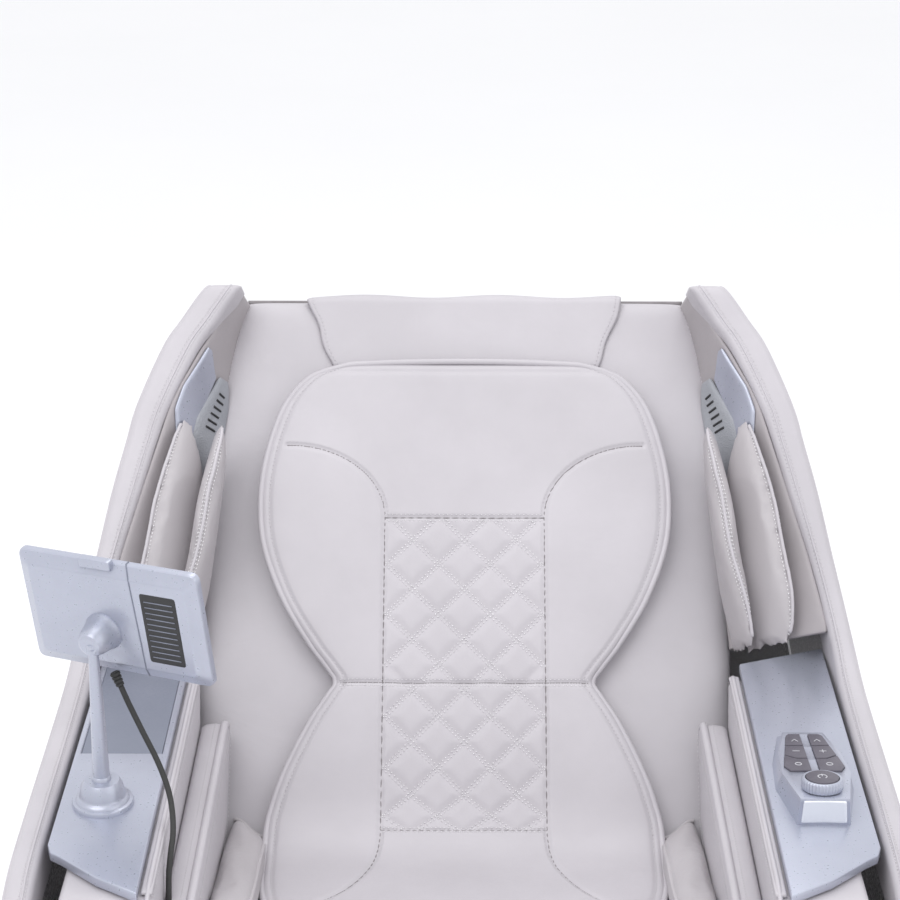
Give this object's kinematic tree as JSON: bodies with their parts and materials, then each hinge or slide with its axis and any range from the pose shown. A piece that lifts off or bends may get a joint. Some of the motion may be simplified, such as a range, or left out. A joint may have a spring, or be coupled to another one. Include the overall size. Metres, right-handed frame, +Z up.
{
  "type": "massage chair",
  "caption": "Reclining massage chair: a padded pod with wings and armrests tilts on a low base, with a folding legrest, a tablet on a stand and a control pod.",
  "frame": {"origin": "centre of the bounding box in plan, on the floor", "axes": "+Z up, the chair faces -Y, +X is the sitter's left, which is the viewer's right from the front; X = 0 is the mirror plane"},
  "size_m": [0.8292, 1.2682, 0.988],
  "materials": {
    "leather": "pale greige synthetic leather, fine grain, soft sheen",
    "flap_leather": "slightly darker greige synthetic leather",
    "shell_plastic": "pearl white satin-gloss moulding",
    "silver_paint": "bluish silver paint on plastic, satin",
    "panel_plastic": "dark blue-grey fine-textured plastic",
    "key_plastic": "dark violet-grey satin plastic",
    "black_plastic": "black plastic",
    "switch_plastic": "dark red rocker",
    "screen_glass": "black screen glass",
    "frame_steel": "black powder coat",
    "bright_steel": "ground bar",
    "board": "plywood",
    "roller_plastic": "cream moulded plastic"
  },
  "bodies": {
    "base": {"base_frame": "frame_steel", "base_skirt": "shell_plastic", "levelling_feet": "black_plastic", "control_box": "black_plastic", "mains_inlet": "black_plastic", "recline_actuator": "frame_steel", "pivot_pins": "bright_steel"},
    "pod": {"pod_frame": "frame_steel", "roller_tracks": "frame_steel", "seat_pan": "board", "back_shell": "shell_plastic", "side_shell_left": "shell_plastic", "side_shell_right": "shell_plastic", "side_band_left": "leather", "side_band_right": "leather", "arm_body_left": "leather", "arm_body_right": "leather", "arm_plate_left": "silver_paint", "arm_plate_right": "silver_paint", "charge_panel": "panel_plastic", "wing_linings": "panel_plastic", "wing_trims": "silver_paint", "speaker_pods": "panel_plastic", "back_cushion": "leather", "seat_cushion": "leather", "overlay_pad": "leather", "top_flap": "leather", "shoulder_flaps_inner": "flap_leather", "shoulder_flaps_outer": "flap_leather", "arm_airbags": "leather", "hip_flaps": "leather", "air_pump": "black_plastic", "legrest_actuator": "frame_steel", "stand_base": "silver_paint", "tablet_cable": "black_plastic", "control_pod": "silver_paint"},
    "legrest": {"legrest_frame": "frame_steel", "calf_section": "leather"},
    "foot": {"foot_section": "leather"},
    "tablet": {"tablet_housing": "silver_paint", "tablet_screen": "screen_glass", "strain_relief": "black_plastic"},
    "recline_rod": {"recline_rod": "bright_steel"},
    "legrest_rod": {"legrest_rod": "bright_steel"},
    "foot_rollers": {"foot_rollers": "roller_plastic"},
    "roller_carriage": {"roller_carriage": "frame_steel"},
    "roller_arm_left": {"roller_arm_left": "frame_steel"},
    "roller_arm_right": {"roller_arm_right": "frame_steel"},
    "massage_roller_left": {"massage_roller_left": "roller_plastic"},
    "massage_roller_right": {"massage_roller_right": "roller_plastic"},
    "volume_knob": {"volume_knob": "silver_paint"},
    "power_button": {"power_button": "key_plastic"},
    "rear_wheels": {"rear_wheels": "black_plastic"},
    "mains_switch": {"mains_switch": "switch_plastic"},
    "key_1": {"key_1": "key_plastic"},
    "key_2": {"key_2": "key_plastic"},
    "key_3": {"key_3": "key_plastic"},
    "key_4": {"key_4": "key_plastic"},
    "key_5": {"key_5": "key_plastic"},
    "key_6": {"key_6": "key_plastic"}
  },
  "joints": [
    {"name": "pod_tilt", "type": "hinge", "parent": "base", "child": "pod", "pos_m": [0, -0.12, 0.27], "axis": [-1, 0, 0], "range_deg": [-12, 25]},
    {"name": "recline_drive", "type": "slide", "parent": "base", "child": "recline_rod", "axis": [0, -1, 0], "range_m": [-0.036, 0.074]},
    {"name": "legrest_lift", "type": "hinge", "parent": "pod", "child": "legrest", "pos_m": [0, -0.32004, 0.4607], "axis": [-1, 0, 0], "range_deg": [0, 55]},
    {"name": "legrest_drive", "type": "slide", "parent": "pod", "child": "legrest_rod", "axis": [0, -0.9816, 0.1908], "range_m": [0, 0.07]},
    {"name": "foot_extension", "type": "slide", "parent": "legrest", "child": "foot", "axis": [0, -0.5736, -0.8191], "range_m": [0, 0.1]},
    {"name": "foot_roller_spin", "type": "hinge", "parent": "foot", "child": "foot_rollers", "pos_m": [0, -0.55504, 0.18088], "axis": [1, 0, 0], "continuous": true},
    {"name": "carriage_slide", "type": "slide", "parent": "pod", "child": "roller_carriage", "axis": [0, 0.6691, 0.7431], "range_m": [-0.2, 0.12]},
    {"name": "roller_arm_left", "type": "hinge", "parent": "roller_carriage", "child": "roller_arm_left", "pos_m": [-0.05, 0.41174, 0.63346], "axis": [1, 0, 0], "range_deg": [-6, 6]},
    {"name": "roller_arm_right", "type": "hinge", "parent": "roller_carriage", "child": "roller_arm_right", "pos_m": [0.05, 0.41174, 0.63346], "axis": [1, 0, 0], "range_deg": [-6, 6]},
    {"name": "roller_spin_left", "type": "hinge", "parent": "roller_arm_left", "child": "massage_roller_left", "pos_m": [-0.07, 0.45175, 0.69433], "axis": [1, 0, 0], "continuous": true},
    {"name": "roller_spin_right", "type": "hinge", "parent": "roller_arm_right", "child": "massage_roller_right", "pos_m": [0.07, 0.45175, 0.69433], "axis": [1, 0, 0], "continuous": true},
    {"name": "tablet_pan", "type": "hinge", "parent": "pod", "child": "tablet", "pos_m": [-0.342, -0.057, 0.823], "axis": [0, 0, 1], "range_deg": [-35, 45], "deforming": ["tablet_cable"]},
    {"name": "volume_turn", "type": "hinge", "parent": "pod", "child": "volume_knob", "pos_m": [0.336, -0.06797, 0.68482], "axis": [0, 0.1219, 0.9925], "continuous": true},
    {"name": "power_press", "type": "slide", "parent": "volume_knob", "child": "power_button", "axis": [0, -0.1219, -0.9925], "range_m": [0, 0.001], "stiffness_N_per_m": 2000},
    {"name": "key_1_press", "type": "slide", "parent": "pod", "child": "key_1", "axis": [0, -0.1219, -0.9925], "range_m": [0, 0.001], "stiffness_N_per_m": 2000},
    {"name": "key_2_press", "type": "slide", "parent": "pod", "child": "key_2", "axis": [0, -0.1219, -0.9925], "range_m": [0, 0.001], "stiffness_N_per_m": 2000},
    {"name": "key_3_press", "type": "slide", "parent": "pod", "child": "key_3", "axis": [0, -0.1219, -0.9925], "range_m": [0, 0.001], "stiffness_N_per_m": 2000},
    {"name": "key_4_press", "type": "slide", "parent": "pod", "child": "key_4", "axis": [0, -0.1219, -0.9925], "range_m": [0, 0.001], "stiffness_N_per_m": 2000},
    {"name": "key_5_press", "type": "slide", "parent": "pod", "child": "key_5", "axis": [0, -0.1219, -0.9925], "range_m": [0, 0.001], "stiffness_N_per_m": 2000},
    {"name": "key_6_press", "type": "slide", "parent": "pod", "child": "key_6", "axis": [0, -0.1219, -0.9925], "range_m": [0, 0.001], "stiffness_N_per_m": 2000},
    {"name": "rear_wheel_spin", "type": "hinge", "parent": "base", "child": "rear_wheels", "pos_m": [0, 0.264, 0.03], "axis": [1, 0, 0], "continuous": true},
    {"name": "mains_rocker", "type": "hinge", "parent": "base", "child": "mains_switch", "pos_m": [0.17, 0.328, 0.097], "axis": [1, 0, 0], "range_deg": [0, 10]}
  ],
  "couplings": [
    {"joint": "recline_drive", "follows": "pod_tilt", "m_per_rad": 0.1671},
    {"joint": "legrest_drive", "follows": "legrest_lift", "m_per_rad": 0.0722},
    {"joint": "roller_arm_right", "follows": "roller_arm_left", "ratio": -1}
  ]
}
